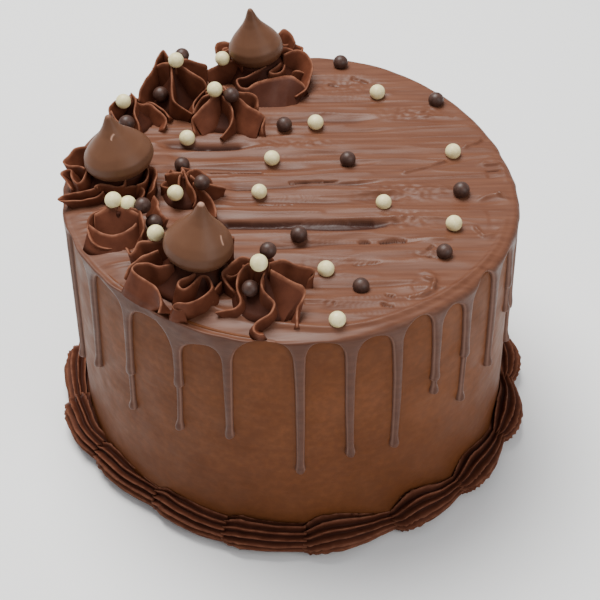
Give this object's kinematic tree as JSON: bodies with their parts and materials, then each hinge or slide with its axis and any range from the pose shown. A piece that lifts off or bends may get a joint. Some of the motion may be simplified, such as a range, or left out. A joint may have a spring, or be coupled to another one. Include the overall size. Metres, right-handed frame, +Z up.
{
  "type": "chocolate cake",
  "caption": "Tall round chocolate cake with a dripping ganache top, a crescent of piped rosettes and pointed chocolate drops, sugar pearls and a piped shell border.",
  "frame": {"origin": "centre of the cake's flat underside", "axes": "+Z up, -Y towards the front, +X to the right of a person facing the front"},
  "size_m": [0.1785, 0.1781, 0.1316],
  "materials": {
    "frosting": "smooth satin chocolate frosting",
    "ganache": "soft gloss set ganache",
    "buttercream": "satin piped chocolate buttercream",
    "milk_chocolate": "satin moulded milk chocolate",
    "cream_pearl": "soft gloss sugar shell",
    "dark_pearl": "soft gloss dark chocolate shell"
  },
  "bodies": {
    "root": {"cake_body": "frosting", "ganache_cap": "ganache", "rosette_back": "buttercream", "rosette_back_tall": "buttercream", "rosette_back_inner": "buttercream", "rosette_back_small": "buttercream", "rosette_left": "buttercream", "rosette_inner": "buttercream", "rosette_left_small": "buttercream", "rosette_front": "buttercream", "rosette_front_inner": "buttercream", "chocolate_drop_back": "milk_chocolate", "chocolate_drop_left": "milk_chocolate", "chocolate_drop_front": "milk_chocolate", "shell_border": "buttercream"}
  },
  "joints": []
}
